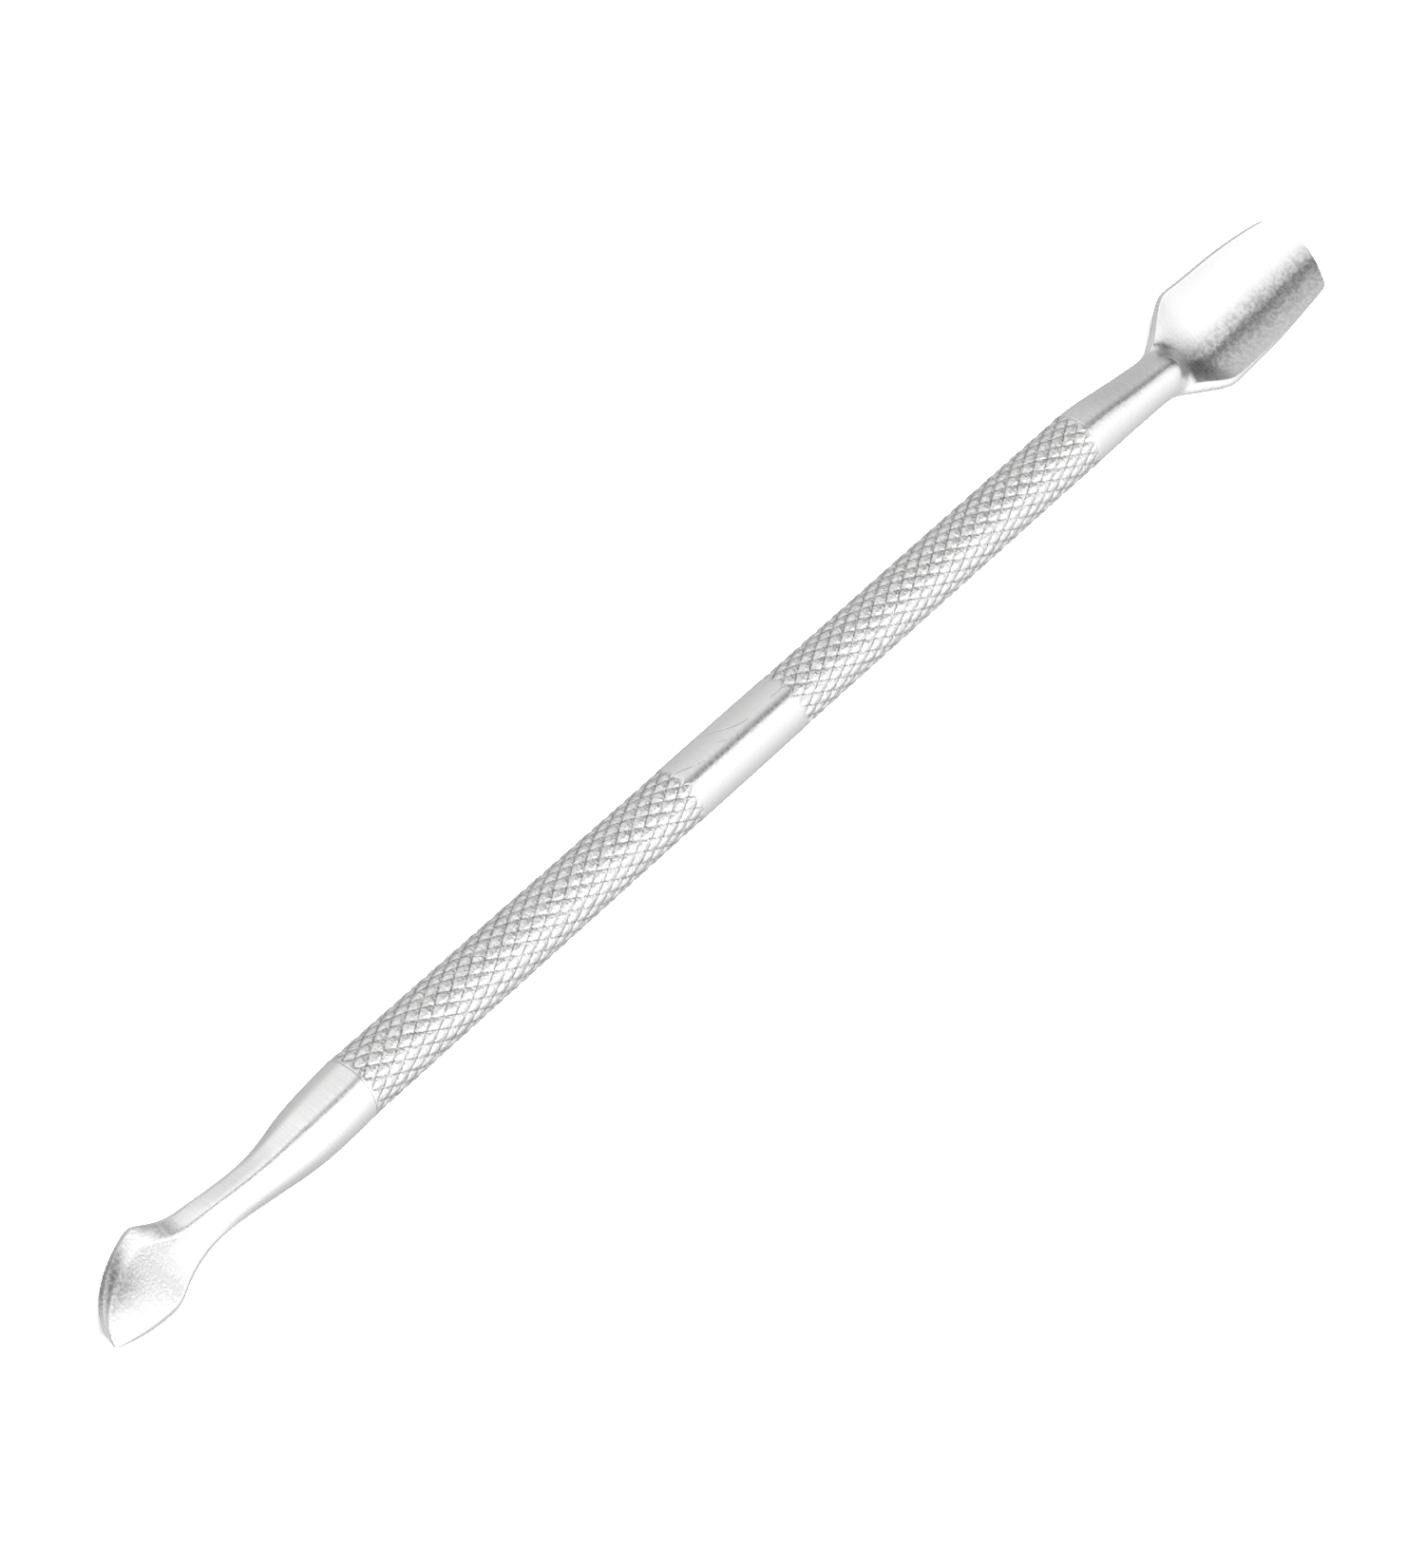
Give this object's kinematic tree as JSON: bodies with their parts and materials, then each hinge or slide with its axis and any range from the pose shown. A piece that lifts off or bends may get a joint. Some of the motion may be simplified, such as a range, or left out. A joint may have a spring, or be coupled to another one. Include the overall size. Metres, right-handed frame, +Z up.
{
  "type": "cuticle pusher",
  "caption": "Double-ended steel cuticle pusher: round knurled handle with a plain middle band, a concave scoop tip at one end and an off-centre pointed scraper blade at the other.",
  "frame": {"origin": "middle of the tool's bounding box, on the surface it lies on with the scoop facing up", "axes": "+X along the handle from the scraper blade to the scoop, +Z up out of the scoop's hollow, +Y across the tool to the blade's long curved edge side"},
  "size_m": [0.1304, 0.0086, 0.0049],
  "materials": {
    "handle_steel": "diamond knurled with a plain turned band, satin",
    "tip_steel": "hand ground and lightly polished, satin"
  },
  "bodies": {
    "root": {"handle": "handle_steel", "pusher_tip": "tip_steel", "scraper_tip": "tip_steel"}
  },
  "joints": []
}
